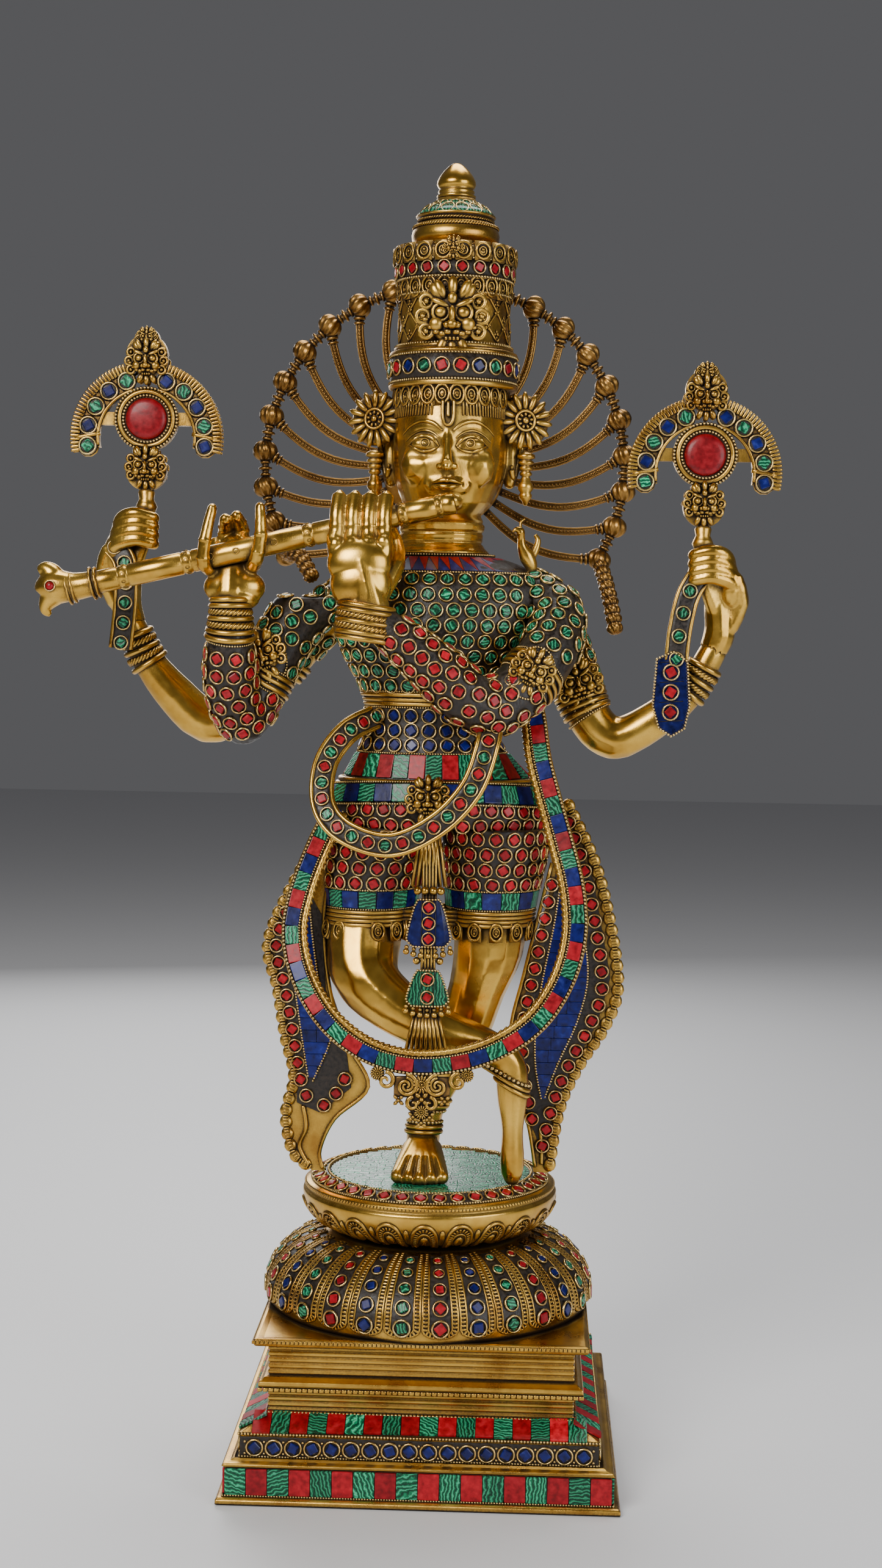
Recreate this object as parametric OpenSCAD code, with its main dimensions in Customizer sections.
// Four-armed flute player: a cast brass temple figure with stone inlay, standing on a double lotus
// and a stepped square plinth. The figure faces -Y, +Z is up, and the origin is the middle of the
// underside of the foot plate. Every piece that the foundry casts or sets by itself is a module.

/* [Plinth] */
// Width of the square foot plate
foot_w = 241.4; // [196:0.2:292]
// Thickness of the foot plate
foot_t = 4.6; // [3:0.1:8]
// How far the foot plate stands out past the lower tiles
foot_ledge = 3.7; // [2:0.1:8]
// Height of the lower step, which carries the lower tiles
lower_step_h = 17.8; // [14:0.1:24]
// Height of the stone step, which carries the row of blue stones
stone_step_h = 18.2; // [14:0.1:24]
// How far the stone step stands in from the lower step
stone_step_in = 8.5; // [4:0.1:14]
// Height of the sloping band
slope_h = 7.1; // [5:0.1:12]
// How far the sloping band runs in
slope_run = 14.5; // [10:0.1:20]
// Height of the lower plain course
lower_course_h = 13.9; // [10:0.1:20]
// Height of the middle ledge
ledge_h = 9.4; // [6:0.1:14]
// How far the middle ledge stands out past the courses
ledge_out = 5.5; // [2:0.1:9]
// Height of the upper plain course
upper_course_h = 18.5; // [14:0.1:26]
// Height of the top slab
slab_h = 6.0; // [4:0.1:10]
// How far the top slab stands out past the courses
slab_out = 8.5; // [4:0.1:12]
// Wall thickness of the hollow plinth casting
plinth_wall = 6; // [5:0.5:10]

/* [Stones] */
// Thickness of a flat stone tile
tile_t = 1.5; // [1:0.1:3]
// Number of tiles along one side of the plinth
tiles_per_side = 18; // [12:2:24]
// Radius of a round stone cup
cup_r = 4.8; // [3.8:0.1:5.8]
// Height of a round stone cup
cup_h = 2.2; // [1.4:0.1:3]
// Distance between neighbouring cups in a row
cup_pitch = 11.3; // [10:0.1:14]

/* [Lotus] */
// Largest radius of the lower lotus
lotus_r = 103; // [85:1:124]
// Height of the lower lotus
lotus_h = 45.5; // [38:0.5:56]
// Radius of the neck between the two lotus shapes
neck_r = 52; // [44:1:62]
// Wall thickness of the hollow lotus castings
lotus_wall = 8; // [5:0.5:10]
// Number of hanging petals
petal_count = 28; // [20:2:32]
// Stones in one petal's column
petal_stones = 4; // [2:1:4]
// Largest radius of the upper lotus bowl
bowl_r = 81; // [74:1:98]
// Height of the upper lotus bowl
bowl_h = 36.5; // [32:0.5:44]
// Radius of the green mosaic disc
disc_r = 64; // [54:1:66]

/* [Tie bolt] */
// Radius of the tie bolt
bolt_r = 5; // [4:0.1:6]
// Gap round the tie bolt in its holes
bolt_gap = 0.4; // [0.2:0.1:1]
// Radius of the tie bolt's nut across its corners
nut_r = 9.5; // [8:0.5:14]

/* [Figure] */
// Height of the hems of the shorts above the mosaic disc
hem_z = 170; // [160:1:178]
// Height of the fork of the legs above the mosaic disc
fork_z = 222; // [216:1:228]
// Height of the top of the hips
hip_top_z = 263; // [258:1:268]
// Height of the jacket's lower edge
jacket_z = 300; // [296:1:304]
// Half of the width across the hips
hip_half = 71; // [66:1:78]
// Half of the width across the waist
waist_half = 40; // [36:1:44]
// Half of the width across the chest
chest_half = 70; // [66:1:76]

/* [Head] */
// Height of the crown's lower edge above the mosaic disc
crown_z = 494; // [488:1:500]
// Height of the crown's drum
crown_h = 86; // [72:1:104]
// Radius of the crown's drum
crown_r = 36; // [30:0.1:43.5]
// Thickness of the diadem round the crown's foot
diadem_t = 4.5; // [3.5:0.1:6]
// Height of the diadem
diadem_h = 24; // [16:1:30]
// Height of the pot on the crown
pot_h = 33; // [27:1:40]
// Largest radius of the pot
pot_r = 27.5; // [23:0.5:33]
// Height of the bud on the pot
bud_h = 22.5; // [18:0.5:28]
// Largest radius of the bud
bud_r = 12.5; // [10:0.5:15]

/* [Halo] */
// Radius of the circle through the halo's balls
halo_r = 117; // [108:1:128]
// Height of the halo's middle above the mosaic disc
halo_z = 451; // [446:1:456]
// Number of rays in one half of the halo
ray_count = 11; // [9:1:12]
// Radius of a halo ball
halo_ball_r = 7.2; // [6:0.1:8.6]
// Radius of a halo ray
ray_r = 2.6; // [2:0.1:3.2]
// Radius of the hub behind the head
hub_r = 40; // [36:1:44]
// Thickness of the hub, from the halo's back to inside the back of the head
hub_t = 11; // [9:0.5:14]

/* [Flute] */
// Radius of the flute tube
flute_r = 7; // [5.8:0.1:8.4]
// Radius of the flute's bore
flute_bore_r = 4.4; // [3.4:0.1:5.3]
// Length of the flute tube
flute_len = 226; // [200:1:272]
// Fall of the flute below the level, in degrees
flute_fall = 13.3; // [11:0.1:15]
// How far the flute's axis stands in front of the figure's middle
flute_front = 52; // [50:0.5:54]
// Gap between the flute and the fingers
grip_gap = 0.6; // [0.4:0.1:1]
// How far the flute can be drawn out of the hands
flute_travel = 190; // [150:1:190]

/* [Emblems] */
// Radius of an emblem's red dome stone
gem_r = 13; // [10.5:0.5:15.5]
// Thickness of an emblem's plate
emblem_t = 6; // [4:0.5:9]
// Inner radius of an emblem's wings
wing_inner_r = 30; // [28:0.5:32]
// Outer radius of an emblem's wings
wing_outer_r = 45; // [42:0.5:52]

/* [Hangings] */
// Width of the hanging sash
sash_w = 14; // [12:0.5:16.5]
// Thickness of the hanging sash
sash_t = 4; // [3:0.5:5]
// Radius of the hip garland
garland_r = 4.6; // [3.8:0.1:5.4]
// Thickness of the cloth side panels
panel_t = 5; // [4:0.5:7]
// Width of the front strap
strap_w = 9; // [8:0.5:11]

/* [Hidden] */

skin = 0.2;                 // thickness of the end slice in a stacked hull
far = 1000;                 // longer than any piece
brass = "goldenrod";
coral = "firebrick";
malachite = "seagreen";
lapis = "midnightblue";

// Plinth levels and half widths
lower_step_z = foot_t;
stone_step_z = lower_step_z + lower_step_h;
slope_z = stone_step_z + stone_step_h;
lower_course_z = slope_z + slope_h;
ledge_z = lower_course_z + lower_course_h;
upper_course_z = ledge_z + ledge_h;
slab_z = upper_course_z + upper_course_h;
lotus_z = slab_z + slab_h;
bowl_z = lotus_z + lotus_h;
disc_top = bowl_z + bowl_h;
lower_half = foot_w / 2 - foot_ledge - tile_t;
stone_half = lower_half - stone_step_in;
course_half = stone_half - slope_run;
deck_t = slope_h;           // the inner deck of the plinth shell
mosaic_t = 2;

// The tie bolt stands under the standing leg's ankle
bolt_at = [-5, 4];
bolt_top = disc_top + 26;
washer_t = 2.5;
nut_h = 8;
nut_gap = 0.02;             // keeps the nut and the washer two solids
bolt_bottom = slope_z - washer_t - nut_h - 3;

// The flute's mouth end and direction, above the mosaic disc
flute_start = [10.6, -flute_front, 422];
flute_dir = [-cos(flute_fall), 0, -sin(flute_fall)];
finger_y = -flute_front - flute_r - grip_gap - 4.2;

// Middles of the two emblems
emblem_right_at = [-186, 2, 474.5];
emblem_left_at = [164.5, 0, 456.5];

// ---------------------------------------------------------------- general shapes

// A smooth curve through control points of any length: each item is [x, y, z, radius]
function bend(p, i, t) =
    let (a = p[max(i - 1, 0)], b = p[i], c = p[i + 1], d = p[min(i + 2, len(p) - 1)])
    0.5 * (2 * b + (c - a) * t + (2 * a - 5 * b + 4 * c - d) * t * t
        + (3 * b - a - 3 * c + d) * t * t * t);
function smooth(p, steps) = [
    for (i = [0 : len(p) - 2]) for (s = [0 : steps - 1]) bend(p, i, s / steps),
    p[len(p) - 1]
];

// A point at a distance along the flute's axis
function on_flute(d) = flute_start + d * flute_dir;

// One ball of a limb
module bead(p, sides) translate([p[0], p[1], p[2]]) sphere(r = p[3], $fn = sides);

// A round limb through control points with a radius each
module limb(points, steps = 3, sides = 12) {
    path = smooth(points, steps);
    for (i = [0 : len(path) - 2]) hull() {
        bead(path[i], sides);
        bead(path[i + 1], sides);
    }
}

// A flat band through control points, with its width upright to the path in the X-Z plane
module band(points, width, thick, steps = 2) {
    path = smooth(points, steps);
    for (i = [0 : len(path) - 2]) hull() for (k = [0, 1]) {
        p = path[i + k];
        a = path[max(i + k - 1, 0)];
        b = path[min(i + k + 1, len(path) - 1)];
        turn = atan2(b[2] - a[2], b[0] - a[0]);
        translate(p) rotate([0, -turn, 0]) cube([skin, thick, width], center = true);
    }
}

// Level oval rings [x, y, z, half width, half depth], joined by straight walls
module stack(rings, sides = 28) {
    for (i = [0 : len(rings) - 2]) hull() {
        slice(rings[i], 0, sides);
        slice(rings[i + 1], -skin, sides);
    }
}
module slice(r, drop, sides)
    translate([r[0], r[1], r[2] + drop]) scale([r[3], r[4], 1]) cylinder(h = skin, r = 1, $fn = sides);

// The same rings as one closed skin of flat triangles
module loft(rings, sides = 24) {
    n = len(rings);
    points = [for (r = rings) for (k = [0 : sides - 1])
        [r[0] + r[3] * cos(360 * k / sides), r[1] + r[4] * sin(360 * k / sides), r[2]]];
    walls = [for (j = [0 : n - 2]) for (k = [0 : sides - 1]) for (half = [0, 1])
        let (m = (k + 1) % sides, low = j * sides, up = low + sides)
        half == 0 ? [low + k, up + k, up + m] : [low + k, up + m, low + m]];
    foot = [for (k = [0 : sides - 1]) k];
    top = [for (k = [sides - 1 : -1 : 0]) (n - 1) * sides + k];
    polyhedron(points = points, faces = concat([foot], walls, [top]), convexity = 4);
}

// Puts +Z along the line from p to q
module aim(p, q) {
    v = q - p;
    translate(p) rotate([0, acos(v[2] / norm(v)), atan2(v[1], v[0])]) children();
}

// Stands a flat outline upright, facing -Y, with its back at y
module upright(y, thick) translate([0, y, 0]) rotate([90, 0, 0]) linear_extrude(thick) children();

module on_disc() translate([0, 0, disc_top]) children();
module both_sides() for (side = [-1, 1]) scale([side, 1, 1]) children();
module four_sides() for (k = [0 : 3]) rotate([0, 0, 90 * k]) children();

// A square ring or plate centred on the plinth's axis
module square_course(half, h, inner = 0) linear_extrude(h) difference() {
    square(2 * half, center = true);
    if (inner > 0) square(2 * inner, center = true);
}
module bolt_hole() translate([bolt_at[0], bolt_at[1], -1]) cylinder(h = far, r = bolt_r + bolt_gap, $fn = 48);

// ---------------------------------------------------------------- plinth

// A full plate, which closes the hollow plinth
module foot_plate() color(brass) square_course(foot_w / 2, foot_t);

module plinth_shell() color(brass) difference() {
    union() {
        translate([0, 0, lower_step_z]) square_course(lower_half, lower_step_h);
        translate([0, 0, stone_step_z]) square_course(stone_half, stone_step_h);
        translate([0, 0, slope_z]) linear_extrude(slope_h, scale = course_half / stone_half)
            square(2 * stone_half, center = true);
    }
    inner = stone_half - plinth_wall;
    translate([0, 0, -1]) square_course(inner, slope_z + 1);
    bolt_hole();
}

module lower_tiles(first) four_sides() for (i = [first : 2 : tiles_per_side - 1]) {
    pitch = 2 * lower_half / tiles_per_side;
    translate([-lower_half + i * pitch + 0.2, -lower_half - tile_t, lower_step_z + 1])
        cube([pitch - 0.4, tile_t, lower_step_h - 2]);
}

// A round cup with its stone, standing on z = 0
module cup() cylinder(h = cup_h, r = cup_r, $fn = 24);

module plinth_blue_stones() color(lapis) {
    count = floor((2 * stone_half - cup_pitch) / cup_pitch);
    four_sides() for (i = [0 : count]) translate([(i - count / 2) * cup_pitch, -stone_half,
        stone_step_z + stone_step_h / 2]) rotate([90, 0, 0]) cup();
}

// Tiles on the slope fan out towards the corners
module slope_tiles(first) {
    slant = norm([slope_run, slope_h]);
    shrink = course_half / stone_half;
    pitch = 2 * stone_half / tiles_per_side;
    four_sides() translate([0, -stone_half, slope_z]) rotate([atan2(slope_h, slope_run), 0, 0])
        for (i = [first : 2 : tiles_per_side - 1]) {
            left = -stone_half + i * pitch + 0.2;
            right = left + pitch - 0.4;
            linear_extrude(tile_t) polygon([[left, 0], [right, 0], [right * shrink, slant],
                [left * shrink, slant]]);
        }
}
module red_tiles() color(coral) {
    lower_tiles(1);
    slope_tiles(0);
}
module green_tiles() color(malachite) {
    lower_tiles(0);
    slope_tiles(1);
}

module lower_course() color(brass) translate([0, 0, lower_course_z])
    square_course(course_half, lower_course_h, course_half - plinth_wall);
module middle_ledge() color(brass) translate([0, 0, ledge_z])
    square_course(course_half + ledge_out, ledge_h, course_half - 3 * plinth_wall);
module upper_course() color(brass) translate([0, 0, upper_course_z])
    square_course(course_half, upper_course_h, course_half - plinth_wall);
module top_slab() color(brass) difference() {
    translate([0, 0, slab_z]) square_course(course_half + slab_out, slab_h);
    bolt_hole();
}

// ---------------------------------------------------------------- double lotus

// The lower lotus follows an oval whose middle is above its foot
dome_low = -14;
dome_h = lotus_h / (1 - sin(dome_low));
dome_mid = lotus_z - dome_h * sin(dome_low);
dome_steps = [for (k = [0 : 13]) dome_low + k * (90 - dome_low) / 13];
function dome(a) = [neck_r + (lotus_r - neck_r) * cos(a), dome_mid + dome_h * sin(a)];

module lower_lotus() color(brass) difference() {
    rotate_extrude($fn = 96) polygon(concat([[0, lotus_z]],
        [for (a = dome_steps) dome(a)], [[0, bowl_z]]));
    rotate_extrude($fn = 96) polygon(concat([[0, lotus_z - 1], [dome(dome_low)[0] - lotus_wall, lotus_z - 1]],
        [for (a = dome_steps) dome(a) - lotus_wall * [cos(a), sin(a)]], [[0, bowl_z - lotus_wall]]));
    bolt_hole();
}

// Cups stand upright to the lotus skin, one column to a petal, and every third column is one colour
module lotus_stones(first) for (petal = [first : 3 : petal_count - 1]) for (k = [0 : petal_stones - 1]) {
    a = 4 + 19 * k;
    p = dome(a);
    lean = atan2(dome_h * cos(a), (lotus_r - neck_r) * sin(a));
    size = 1 - 0.13 * k;
    rotate([0, 0, 360 * (petal + 0.5) / petal_count - 90]) translate([p[0], 0, p[1]])
        rotate([0, lean, 0]) scale(size) cylinder(h = cup_h, r = cup_r, $fn = 24);
}
module lotus_stones_red() color(coral) seated() lotus_stones(0);
module lotus_stones_blue() color(lapis) seated() lotus_stones(1);
module lotus_stones_green() color(malachite) seated() lotus_stones(2);
module seated() difference() {
    children();
    lower_lotus();
}

rim_flat = 3.5;
module lotus_bowl() color(brass) difference() {
    rotate_extrude($fn = 96) polygon(concat([[0, bowl_z], [neck_r, bowl_z], [neck_r, bowl_z + 2]],
        [for (a = [-80 : 10 : 0]) [neck_r + (bowl_r - neck_r) * cos(a), bowl_z + 25 + 23 * sin(a)]],
        [[bowl_r - 1.5, disc_top - 7], [bowl_r - 5, disc_top - 4.5], [disc_r + 1.5, disc_top],
         [disc_r, disc_top], [disc_r, disc_top - mosaic_t], [0, disc_top - mosaic_t]]));
    translate([0, 0, bowl_z - 1])
        cylinder(h = bowl_h - mosaic_t - lotus_wall + 1, r = neck_r - lotus_wall, $fn = 96);
    bolt_hole();
}

module bowl_rim_stones() color(coral) {
    inner = [disc_r + 1.5, disc_top];
    outer = [bowl_r - 5, disc_top - 4.5];
    mid = (inner + outer) / 2;
    lean = atan2(inner[1] - outer[1], outer[0] - inner[0]);
    count = floor(360 * mid[0] * PI / 180 / cup_pitch);
    for (k = [0 : count - 1]) rotate([0, 0, 360 * k / count]) translate([mid[0], 0, mid[1]])
        rotate([0, lean, 0]) cup();
}

module mosaic_disc() color(malachite) difference() {
    translate([0, 0, disc_top - mosaic_t]) cylinder(h = mosaic_t, r = disc_r, $fn = 96);
    bolt_hole();
}

// ---------------------------------------------------------------- tie bolt

module on_bolt(z) translate([bolt_at[0], bolt_at[1], z]) children();
module tie_bolt() color("silver") on_bolt(bolt_bottom)
    cylinder(h = bolt_top - bolt_bottom, r = bolt_r, $fn = 48);

// A washer under the deck and a nut under the washer
module tie_fasteners() color("silver") {
    on_bolt(slope_z - washer_t) difference() {
        cylinder(h = washer_t, r = nut_r + 4, $fn = 48);
        translate([0, 0, -1]) cylinder(h = washer_t + 2, r = bolt_r + bolt_gap, $fn = 48);
    }
    on_bolt(slope_z - washer_t - nut_gap - nut_h) difference() {
        cylinder(h = nut_h, r = nut_r, $fn = 6);
        translate([0, 0, -1]) cylinder(h = nut_h + 2, r = bolt_r + 0.05, $fn = 48);
    }
}

// ---------------------------------------------------------------- legs and hips

// Everything above a level, which cuts a limb off flat
module above(z) translate([-far / 2, -far / 2, z]) cube(far);
module below(z) translate([-far / 2, -far / 2, z - far]) cube(far);

module standing_leg_shape() {
    limb([[36, -2, hem_z + 8, 25], [35, -7, 146, 22.5], [28, -5, 118, 18], [19, -3, 90, 17],
          [7, 0, 60, 12.5], [-2, 3, 40, 10.5], [-5, 5, 20, 11], [-5, 6, 9, 11]]);
    for (k = [0 : 4]) limb([[-5 + 2 * (k - 2), -4, 14, 9], [-5 + 5 * (k - 2), -24, 8, 6.5],
        [-5 + 7 * (k - 2), -40 - 2 * cos(90 * (k - 2)), 4, 4.6]], 2, 8);
}
module standing_leg() color(brass) on_disc() difference() {
    standing_leg_shape();
    above(hem_z);
    below(0);
    translate([bolt_at[0], bolt_at[1], -1]) cylinder(h = 30, r = bolt_r + bolt_gap, $fn = 48);
}

module crossed_leg_shape() {
    limb([[-41, -6, hem_z + 8, 26], [-44, -20, 142, 23.5], [-38, -32, 124, 20], [-14, -40, 106, 16.5],
          [14, -42, 94, 14.5], [38, -40, 86, 11.5], [50, -38, 76, 10.5], [52, -38, 52, 10.5],
          [52.5, -38, 26, 9.5], [52.5, -37, 10, 7.5], [52.5, -36, 4.4, 5]]);
}
module crossed_leg() color(brass) on_disc() difference() {
    crossed_leg_shape();
    above(hem_z);
    below(0);
}

fork_right_x = -36;
fork_left_x = 38;
module shorts_right() color(coral) on_disc() loft([[-41, -6, hem_z, 29, 31], [-40, -4, hem_z + 18, 31, 36],
    [-38, -1, hem_z + 35, 33.5, 41], [fork_right_x, 0, fork_z, 34.5, 42]]);
module shorts_left() color(coral) on_disc() loft([[36, -2, hem_z, 28, 30], [37, -1, hem_z + 18, 30, 35],
    [38, 0, hem_z + 35, 33, 40], [fork_left_x, 0, fork_z, 34, 42]]);

hem_h = 15;
module hem_bands() color(brass) on_disc() difference() {
    union() {
        stack([[-42, -10, hem_z - hem_h, 29, 29], [-41, -6, hem_z, 29.5, 31.5]]);
        stack([[35.5, -5, hem_z - hem_h, 27, 27], [36, -2, hem_z, 28.5, 30.5]]);
    }
    standing_leg_shape();
    crossed_leg_shape();
}

hip_rings = [[1, 0, fork_z, hip_half, 44], [2, 0, fork_z + 10, hip_half, 46],
    [2, 0, fork_z + 22, hip_half - 5, 44], [0, 0, hip_top_z - 9, hip_half - 13, 40],
    [-2, 0, hip_top_z, hip_half - 21, 36]];
module hips() color(coral) on_disc() loft(hip_rings);

belt_t = 2.5;
module belt_shape() stack([for (k = [1 : 3]) hip_rings[k] + [0, 0, 0, belt_t, belt_t]]);
module hip_belt() color(lapis) on_disc() difference() {
    belt_shape();
    loft(hip_rings);
    strap_shape();
}

module belt_buckle() color(brass) on_disc() difference() {
    translate([-3, -40, 247]) rotate([90, 0, 0]) cylinder(h = 17, r1 = 13, r2 = 8, $fn = 32);
    belt_shape();
    loft(hip_rings);
    strap_shape();
}

// ---------------------------------------------------------------- trunk

module waist_wrap() color(lapis) on_disc() loft([[-2, 0, hip_top_z, hip_half - 21, 36],
    [-4, 0, hip_top_z + 12, waist_half + 3, 32], [-4, 0, jacket_z - 12, waist_half, 30.5],
    [-4, 0, jacket_z, waist_half + 2, 31]]);

neck_base_z = 392;
torso_rings = [[-4, 0, jacket_z, waist_half + 2, 31], [-4, 0, jacket_z + 12, waist_half + 6, 34],
    [-3, -1, 328, chest_half - 14, 38], [-2, -2, 346, chest_half - 6, 41], [-1, -1, 361, chest_half - 1, 40],
    [-1, 0, 373, chest_half, 37], [0, 2, 383, chest_half - 10, 32], [0, 4, 389, chest_half - 26, 28],
    [0, 4, neck_base_z, 31, 26]];
module torso() color(malachite) on_disc() loft(torso_rings);

// ---------------------------------------------------------------- head and crown

crown_bore = crown_r - 7;   // inner radius of the hollow drum
diadem_r = crown_r + diadem_t;
crown_x = 6.5;
crown_y = 1;
module head_shape() {
    stack([[0, 4, neck_base_z, 28, 25], [0, 4, 402, 26.5, 23.5], [1, 3, 411, 27, 25], [3, -3, 417, 22, 29],
           [4, -3, 424, 28, 34], [4.5, -2, 436, 33, 37.5], [5, 0, 450, 35.5, 40], [5, 1, 466, 36, 41],
           [5, 2, 482, 36, 40], [5.5, 1, crown_z, 35, 38]], 26);
    for (x = [-32, 43]) limb([[x, 4, 438, 4], [x, 5, 452, 5.5], [x, 5, 464, 4.5]], 2, 10);
}
module head() color(brass) on_disc() head_shape();

module on_crown(z) on_disc() translate([crown_x, crown_y, z]) children();
module crown() color(brass) on_crown(crown_z) rotate_extrude($fn = 72) polygon([
    [crown_bore, 0], [crown_r, 0], [crown_r, diadem_h], [crown_r + 1.5, diadem_h],
    [crown_r - 1, diadem_h + 4],
    [crown_r - 2, crown_h - 22], [crown_r, crown_h - 20], [crown_r, crown_h - 8], [crown_r + 1, crown_h - 7],
    [crown_r + 1, crown_h - 2], [crown_r - 5, crown_h], [0, crown_h], [0, crown_h - 6],
    [crown_bore, crown_h - 14]]);
module diadem() color(brass) on_crown(crown_z) rotate_extrude($fn = 72) polygon([
    [crown_r, 0], [diadem_r - 1, 0], [diadem_r, 3], [diadem_r, diadem_h - 4], [crown_r + 1.5, diadem_h],
    [crown_r, diadem_h]]);
module crown_stones() color(coral) on_crown(crown_z) {
    ring_of_cups(diadem_r, diadem_h * 0.55);
    ring_of_cups(crown_r, crown_h - 14);
}
module ring_of_cups(r, z) {
    count = floor(2 * PI * r / cup_pitch);
    for (k = [0 : count - 1]) rotate([0, 0, 360 * (k + 0.5) / count]) translate([r, 0, z])
        rotate([0, 90, 0]) cylinder(h = cup_h, r = cup_r * 0.8, $fn = 24);
}
module crown_pot() color(brass) on_crown(crown_z + crown_h) rotate_extrude($fn = 72) polygon([
    [0, 0], [pot_r - 7, 0], [pot_r - 4, 4], [pot_r - 1, 6], [pot_r, pot_h * 0.3], [pot_r - 1, pot_h * 0.42],
    [pot_r - 4, pot_h * 0.5], [pot_r - 2, pot_h * 0.6], [pot_r - 6, pot_h * 0.74], [pot_r - 12, pot_h * 0.9],
    [bud_r - 1, pot_h], [0, pot_h]]);
module crown_bud() color(brass) on_crown(crown_z + crown_h + pot_h) rotate_extrude($fn = 72) polygon([
    [0, 0], [bud_r - 2, 0], [bud_r - 0.5, 1.5], [bud_r - 2, 3], [bud_r, bud_h * 0.3],
    [bud_r - 1, bud_h * 0.5], [bud_r - 4, bud_h * 0.75], [bud_r - 9, bud_h * 0.95], [0, bud_h]]);

module temple_rosettes() color(brass) on_disc() difference() {
    for (x = [-44, 54]) translate([x, 2, 476]) rotate([90, 0, 0]) cylinder(h = 5, r = 14, $fn = 36);
    head_shape();
}

module ear_ornaments() color(brass) on_disc() for (x = [-42, 53]) translate([x, 1, 0]) {
    translate([0, 0, 450]) cylinder(h = 6, r = 5.5, $fn = 24);
    translate([0, 0, 438]) cylinder(h = 12, r = 3, $fn = 24);
    translate([0, 0, 432]) cylinder(h = 6, r = 4.5, $fn = 24);
    translate([0, 0, 424]) cylinder(h = 8, r = 3, $fn = 24);
}

// ---------------------------------------------------------------- halo

ray_t = 4;
halo_y = crown_y + diadem_r + cup_h + ray_t / 2 + 1.3;  // clear of the diadem's stones
hub_seat_y = 37.8;  // the hub reaches at least this far forward, into the back of the head
module halo_hub() color(brass) on_disc() difference() {
    translate([0, halo_y + ray_t / 2, halo_z]) rotate([90, 0, 0])
        cylinder(h = max(hub_t, halo_y + ray_t / 2 - hub_seat_y), r = hub_r, $fn = 72);
    head_shape();
}

// Angle of a ray's ball from the level, counted from the lowest ray
function ray_angle(k) = -30 + k * 114 / (ray_count - 1);
function ball_at(k) = halo_r * [cos(ray_angle(k)), sin(ray_angle(k))];

// A ray is a flat bent bar, bowed upwards by a share of its length
function bowed(root, tip, s, out) =
    let (v = tip - root, side = [v[1], -v[0]] / norm(v))
    root + s * v + side * (0.13 * norm(v) * sin(180 * s) + out);
module ray(root, tip) linear_extrude(ray_t, center = true) polygon(concat(
    [for (s = [0 : 0.2 : 1]) bowed(root, tip, s, ray_r)],
    [for (s = [1 : -0.2 : 0]) bowed(root, tip, s, -ray_r)]));

module halo_half() for (k = [0 : ray_count - 1]) {
    a = ray_angle(k) - 16;
    ray((hub_r - 4) * [cos(a), sin(a)], ball_at(k));
    translate(ball_at(k)) rotate([0, 0, ray_angle(k)]) sphere(r = halo_ball_r, $fn = 24);
    if (k > 0) {
        p = [ball_at(k - 1)[0], ball_at(k - 1)[1], 0];
        q = [ball_at(k)[0], ball_at(k)[1], 0];
        aim(p, q) cylinder(h = norm(q - p), r = 3.2, $fn = 24);
    }
}
module halo_side(side) color(brass) on_disc() translate([0, halo_y, halo_z]) rotate([90, 0, 0]) difference() {
    scale([side, 1, 1]) halo_half();
    cylinder(h = 2 * ray_t, r = hub_r, center = true, $fn = 72);
}
module halo_right() halo_side(-1);
module halo_left() halo_side(1);

// ---------------------------------------------------------------- arms and hands

module trunk_cut() loft(torso_rings);

module front_right_upper() limb([[-62, -2, 368, 18], [-84, -5, 358, 19], [-102, -10, 328, 18],
    [-114, -15, 302, 18], [-121, -20, 288, 17]]);
module front_right_fore() limb([[-121, -20, 288, 17], [-126, -32, 306, 17], [-127, -42, 326, 15.5],
    [-126, -47, 344, 12.5], [-126, -48, 364, 10.5]]);
module front_right_arm() color(coral) on_disc() difference() {
    union() {
        front_right_upper();
        front_right_fore();
    }
    trunk_cut();
    above(364);
}

module front_left_upper() limb([[56, -2, 366, 18], [72, -10, 356, 19], [70, -30, 334, 18.5],
    [54, -44, 312, 18], [36, -51, 297, 17]]);
module front_left_fore() limb([[36, -51, 297, 17], [20, -59, 304, 17], [0, -64, 322, 15.5],
    [-18, -67, 337, 12.5], [-36, -68, 351, 10.5]]);
module front_left_arm() color(coral) on_disc() difference() {
    union() {
        front_left_upper();
        front_left_fore();
    }
    trunk_cut();
}

module rear_right_limb() limb([[-60, 20, 362, 16], [-78, 25, 350, 16], [-104, 26, 318, 15],
    [-130, 22, 292, 14], [-149, 19, 284, 14], [-168, 15, 300, 13], [-186, 12, 322, 10.5], [-196, 9, 345, 9]]);
module rear_right_arm() color(brass) on_disc() difference() {
    rear_right_limb();
    trunk_cut();
    front_right_upper();
}

module rear_left_limb() limb([[56, 20, 362, 16], [72, 22, 350, 16.5], [84, 18, 322, 16], [96, 14, 292, 14.5],
    [112, 12, 278, 13.5], [134, 10, 288, 12.5], [158, 8, 308, 10.5], [173, 6, 334, 9]]);
module rear_left_arm() color(brass) on_disc() difference() {
    rear_left_limb();
    trunk_cut();
    front_left_upper();
}

// The flute with the gap that the hands leave round it, over its whole travel
module flute_channel() aim(flute_start - 60 * flute_dir, on_flute(flute_len))
    cylinder(h = 60 + flute_len, r = flute_r + grip_gap, $fn = 40);

// A finger through three joints
module finger(points) limb(points, 2, 8);

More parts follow.
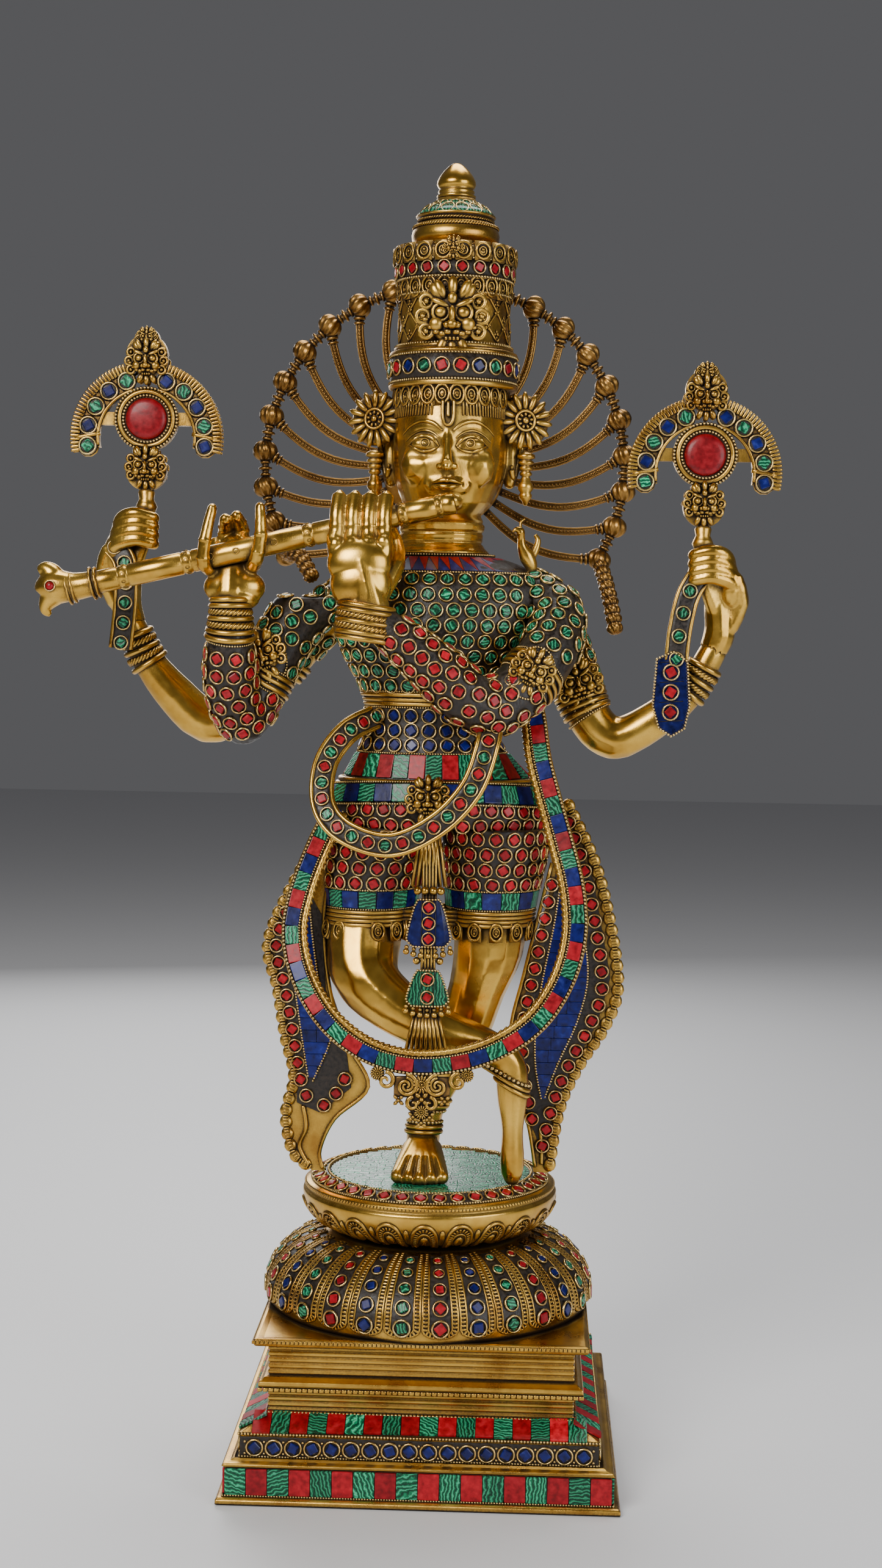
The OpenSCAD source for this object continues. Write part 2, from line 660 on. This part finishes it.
module front_right_hand() color(brass) on_disc() difference() {
    union() {
        limb([[-126, -48, 364, 10.5], [-126, -44, 378, 10], [-126, -38, 394, 8]]);
        for (x = [-137, -116]) finger([[-126, -46, 372, 8], [x, -40, 386, 7], [x, -36, 394, 6]]);
        finger([[-114, -44, 382, 5.5], [-109, finger_y + 4, 386, 4.6], [-106, finger_y, 400, 4.2],
            [-107, finger_y + 3, 417, 3.4]]);
        finger([[-137, -44, 380, 5.2], [-141, finger_y + 4, 382, 4.4], [-140, finger_y, 396, 4],
            [-136, finger_y + 3, 416, 3.2]]);
        finger([[-121, -36, 394, 5.4], [-121, -37, 405, 4.8], [-123, -46, 412, 4]]);
        finger([[-131, -36, 393, 5.4], [-131, -37, 403, 4.8], [-130, -46, 410, 4]]);
    }
    flute_channel();
    below(364);
}

module front_left_hand() color(brass) on_disc() difference() {
    union() {
        limb([[-36, -68, 351, 10.5], [-40, -70, 364, 10], [-45, -69, 384, 9]]);
        for (k = [0 : 3]) {
            x = -60 + 9.5 * k;
            finger([[-40, -70, 362, 8], [x, finger_y - 3, 392, 6], [x, finger_y - 1, 402, 5],
                [x, finger_y, 414, 4.4], [x + 1, finger_y + 5, 425, 3.6]]);
        }
        finger([[-34, -64, 366, 7], [-24, -54, 384, 5.4], [-26, -40, 398, 4.8], [-32, -39, 411, 4]]);
    }
    flute_channel();
    front_left_fore();
}

module rear_right_hand() color(brass) on_disc() difference() {
    union() {
        limb([[-196, 9, 345, 9], [-200, 8, 358, 10], [-199, 7, 374, 9.5]]);
        for (k = [0 : 3]) finger([[-200, 7, 366, 7], [-206 + 5 * k, 4 - 2 * k, 388, 5],
            [-204 + 6 * k, 2 - k, 402, 4.4], [-192 + 2 * k, -2 + k, 410, 3.6]]);
        finger([[-206, 4, 360, 6], [-214, 0, 378, 4.8], [-210, -4, 392, 4.2]]);
    }
    rear_right_limb();
    emblem_stem(emblem_right_at);
}

module rear_left_hand() color(brass) on_disc() difference() {
    union() {
        limb([[173, 6, 334, 9], [177, 5, 346, 10], [176, 4, 362, 9.5]]);
        for (k = [0 : 3]) finger([[177, 4, 354, 7], [183 - 5 * k, 2 - 2 * k, 374, 5],
            [180 - 6 * k, -k, 386, 4.4], [168 - 2 * k, -3 + k, 393, 3.6]]);
        finger([[183, 2, 350, 6], [190, -2, 366, 4.8], [186, -6, 380, 4.2]]);
    }
    rear_left_limb();
    emblem_stem(emblem_left_at);
}

// Three rings, cast together, round each wrist
module wrist_rings(p, q, r) aim(p, q) for (k = [0 : 2]) translate([0, 0, k * norm(q - p) / 3])
    cylinder(h = norm(q - p) / 3, r = r - abs(k - 1), $fn = 18);
module bangles() color(brass) on_disc() difference() {
    union() {
        wrist_rings([-126, -47, 341], [-126, -48, 363], 16);
        wrist_rings([-15, -66.5, 334.5], [-33, -68, 348.5], 16);
        wrist_rings([-182, 12.5, 317], [-193, 10, 338], 14);
        wrist_rings([153, 8.5, 303], [170, 6.5, 326], 14);
    }
    front_right_fore();
    front_left_fore();
    rear_right_limb();
    rear_left_limb();
}

// ---------------------------------------------------------------- emblems

module emblem_outline() {
    circle(r = gem_r + 7, $fn = 48);
    for (top = [0, 1]) translate([0, top ? 40 : -32]) circle(r = 13, $fn = 36);
    translate([0, 49]) circle(r = 8, $fn = 36);
    for (side = [-1, 1]) scale([side, 1]) translate([0, -12]) difference() {
        circle(r = wing_outer_r, $fn = 72);
        circle(r = wing_inner_r, $fn = 72);
        translate([-far, -far / 2]) square([far + 9, far]);
        translate([0, -far]) square([far, far - 6]);
    }
    translate([gem_r, -4]) square([wing_inner_r - gem_r + 3, 8]);
    translate([-wing_inner_r - 3, -4]) square([wing_inner_r - gem_r + 3, 8]);
}
stem_w = 8;
stem_len = 66;
module emblem_stem(at) translate(at + [-stem_w / 2, -emblem_t, -stem_len])
    cube([stem_w, emblem_t, stem_len - 32]);
module emblem_plate(at) {
    translate(at) upright(0, emblem_t) emblem_outline();
    emblem_stem(at);
}
module emblem_plates() color(brass) on_disc() {
    emblem_plate(emblem_right_at);
    emblem_plate(emblem_left_at);
}
module emblem_gems() color(coral) on_disc() for (at = [emblem_right_at, emblem_left_at])
    translate(at + [0, -emblem_t, 0]) rotate([90, 0, 0]) rotate_extrude($fn = 48)
        polygon([[0, 0], [gem_r, 0], [gem_r, 2], [gem_r - 2, 3.2], [gem_r - 6, 4], [0, 4.6]]);

// ---------------------------------------------------------------- flute

module flute_tube() color(brass) on_disc() aim(flute_start, on_flute(flute_len)) difference() {
    cylinder(h = flute_len, r = flute_r, $fn = 64);
    translate([0, 0, -1]) cylinder(h = flute_len + 2, r = flute_bore_r, $fn = 64);
    for (d = [8, 30, 36, 88, 94, 164, 170, 210]) translate([0, 0, d]) rotate_extrude($fn = 64)
        translate([flute_r, 0]) circle(r = 0.5, $fn = 16);
}

// The bird's head is turned from one solid, with a spigot in the tube's bore
module flute_bird_head() color(brass) on_disc() aim(on_flute(flute_len), on_flute(flute_len + 1)) {
    rotate_extrude($fn = 64) polygon([[0, -12], [flute_bore_r - 0.05, -12], [flute_bore_r - 0.05, 0],
        [flute_r + 1.5, 0], [flute_r + 1.5, 5], [flute_r - 0.5, 8], [flute_r + 3, 14], [flute_r + 4, 22],
        [flute_r + 1, 30], [flute_r - 3, 34], [0, 36]]);
}

// ---------------------------------------------------------------- hangings

sash_points = [[40, -14, 320], [58, -26, 300], [65, -36, 264], [77, -44, 223], [86, -52, 190], [88, -57, 160],
    [80, -63, 131], [62, -69, 106], [32, -74, 89], [-4, -75, 83], [-35, -73, 89], [-60, -68, 106],
    [-77, -60, 131], [-84, -52, 158], [-80, -45, 184], [-70, -38, 212], [-60, -28, 232]];
module sash_shape() band(sash_points, sash_w, sash_t);
module hanging_sash() color(lapis) on_disc() difference() {
    sash_shape();
    trunk_cut();
    loft(hip_rings);
    belt_shape();
    front_left_upper();
    translate([0, 0, -disc_top]) shorts_right();
}

panel_y = -16;
panel_foot = 2.5;           // the panels end just above the rim stones
module side_panels() color(coral) on_disc() difference() {
    union() {
        upright(panel_y, panel_t) polygon([[-68, 228], [-82, 196], [-103, 150], [-97, 118], [-92, 88],
            [-86, 62], [-91, 38], [-86, 14], [-74, panel_foot], [-66, panel_foot], [-70, 14], [-62, 34],
            [-38, 56], [-52, 84], [-64, 118], [-68, 170], [-58, 216]]);
        upright(panel_y + 10, panel_t) polygon([[66, 240], [84, 236], [104, 192], [117, 128], [110, 98],
            [94, 72], [82, 44], [76, panel_foot], [66, panel_foot], [62, 34], [54, 52], [50, 92], [58, 130],
            [72, 176], [74, 200]]);
    }
    loft(hip_rings);
    belt_shape();
    standing_leg_shape();
    crossed_leg_shape();
    translate([0, 0, -disc_top]) shorts_right();
    translate([0, 0, -disc_top]) shorts_left();
    translate([0, 0, -disc_top]) hem_bands();
}

module hip_garland() color(brass) on_disc() difference() {
    limb([[-38, -18, 300, garland_r], [-58, -36, 288, garland_r], [-70, -52, 264, garland_r],
        [-68, -64, 238, garland_r], [-52, -72, 222, garland_r], [-24, -76, 215, garland_r],
        [4, -76, 228, garland_r], [24, -72, 250, garland_r], [33, -66, 276, garland_r],
        [35, -54, 292, garland_r]], 2, 8);
    trunk_cut();
    loft(hip_rings);
    front_left_upper();
    front_left_fore();
    translate([0, 0, -disc_top]) waist_wrap();
}

module strap_shape() band([[-3, -43, 252], [-2, -50, 226], [-1, -56, 190], [-1, -60, 150], [-1, -62, 112],
    [-2, -63, 70]], strap_w, 3, 2);
module front_strap() color(brass) on_disc() difference() {
    strap_shape();
    loft(hip_rings);
}
module front_pendants() color(malachite) on_disc() difference() {
    union() {
        upright(-55, 8) polygon([[-11, 178], [9, 178], [14, 156], [8, 150], [-10, 150], [-16, 156]]);
        upright(-58, 8) polygon([[-10, 137], [8, 137], [13, 118], [8, 113], [-10, 113], [-15, 118]]);
    }
    strap_shape();
    crossed_leg_shape();
}

// Leaf scrolls that hang from the lowest part of the sash
module scroll_pendant() color(brass) on_disc() difference() {
    upright(-73, 5) {
        translate([-28, 68]) square([50, 9]);
        for (x = [-20, -3, 14]) translate([x, 66]) circle(r = 9, $fn = 20);
        for (x = [-12, 6]) translate([x, 57]) circle(r = 7, $fn = 20);
        translate([-3, 50]) circle(r = 5, $fn = 20);
    }
    sash_shape();
}

// Two bead garlands from the halo's lowest balls to the shoulders, and a small bird on the left shoulder
module shoulder_ornaments() color(brass) on_disc() difference() {
    low = ball_at(0);
    union() {
        limb([[-low[0], halo_y, halo_z + low[1], 5], [-98, 30, 393, 5], [-90, 18, 390, 5],
            [-82, 8, 378, 4.5]], 2, 8);
        limb([[low[0], halo_y, halo_z + low[1], 5], [106, 32, 376, 5], [110, 20, 358, 5.5],
            [112, 14, 344, 3]], 2, 8);
        limb([[54, -6, 380, 6], [53, -9, 393, 6.5], [53, -13, 401, 3.5], [52, -16, 408, 3.5]], 2, 8);
    }
    for (side = [-1, 1]) translate([side * low[0], halo_y, halo_z + low[1]])
        sphere(r = halo_ball_r + 0.05, $fn = 30);
    trunk_cut();
    front_right_upper();
    front_left_upper();
    head_shape();
}

// Ribbons that hang from the rear hands, and a small cloth panel on the left forearm
module stone_ribbons() color(brass) on_disc() difference() {
    union() {
        band([[-206, -5, 395], [-198, -9, 384], [-197, -10, 362], [-200, -10, 330]], 14, 4, 3);
        band([[166, -5, 386], [156, -9, 370], [151, -10, 348], [149, -10, 328]], 13, 4, 3);
        upright(-5, 7) polygon([[131, 328], [162, 330], [164, 292], [154, 284], [136, 283], [127, 292]]);
    }
    rear_right_limb();
    rear_left_limb();
    translate([0, 0, -disc_top]) {
        rear_right_hand();
        rear_left_hand();
        bangles();
    }
}

foot_plate();
plinth_shell();
red_tiles();
green_tiles();
plinth_blue_stones();
lower_course();
middle_ledge();
upper_course();
top_slab();
lower_lotus();
lotus_stones_red();
lotus_stones_blue();
lotus_stones_green();
lotus_bowl();
bowl_rim_stones();
mosaic_disc();
tie_bolt();
tie_fasteners();
standing_leg();
crossed_leg();
shorts_right();
shorts_left();
hem_bands();
hips();
hip_belt();
belt_buckle();
waist_wrap();
torso();
head();
crown();
diadem();
crown_stones();
crown_pot();
crown_bud();
temple_rosettes();
ear_ornaments();
halo_hub();
halo_right();
halo_left();
front_right_arm();
front_right_hand();
front_left_arm();
front_left_hand();
rear_right_arm();
rear_right_hand();
rear_left_arm();
rear_left_hand();
bangles();
emblem_plates();
emblem_gems();
flute_tube();
flute_bird_head();
hanging_sash();
side_panels();
hip_garland();
front_strap();
front_pendants();
scroll_pendant();
shoulder_ornaments();
stone_ribbons();
